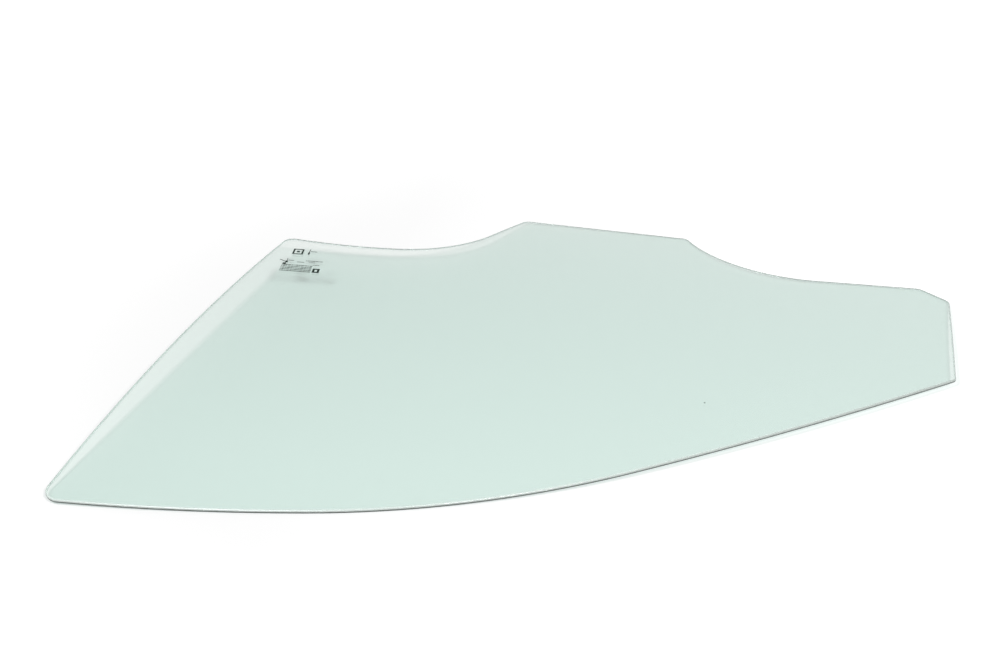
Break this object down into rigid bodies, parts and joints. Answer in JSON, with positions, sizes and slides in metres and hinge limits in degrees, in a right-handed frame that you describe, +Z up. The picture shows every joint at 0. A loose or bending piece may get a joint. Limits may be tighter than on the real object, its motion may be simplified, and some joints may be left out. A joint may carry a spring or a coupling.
{
  "type": "door window glass",
  "caption": "Curved tempered glass pane of a front car door, with a swept roof edge, scooped lower edge, lift tab and ground edge.",
  "frame": {"origin": "on the floor below the middle of the pane's box, with the pane lying on three points of its edge, outer face up", "axes": "+X forwards along the lower edge, from the rear edge to the short front edge; +Y across the pane from the roof edge to the lift tab; +Z up, out of the convex outer face"},
  "size_m": [0.7936, 0.602, 0.0372],
  "materials": {
    "glass": "clear, pale green tint, gloss"
  },
  "bodies": {
    "root": {"window_glass": "glass"}
  },
  "joints": []
}
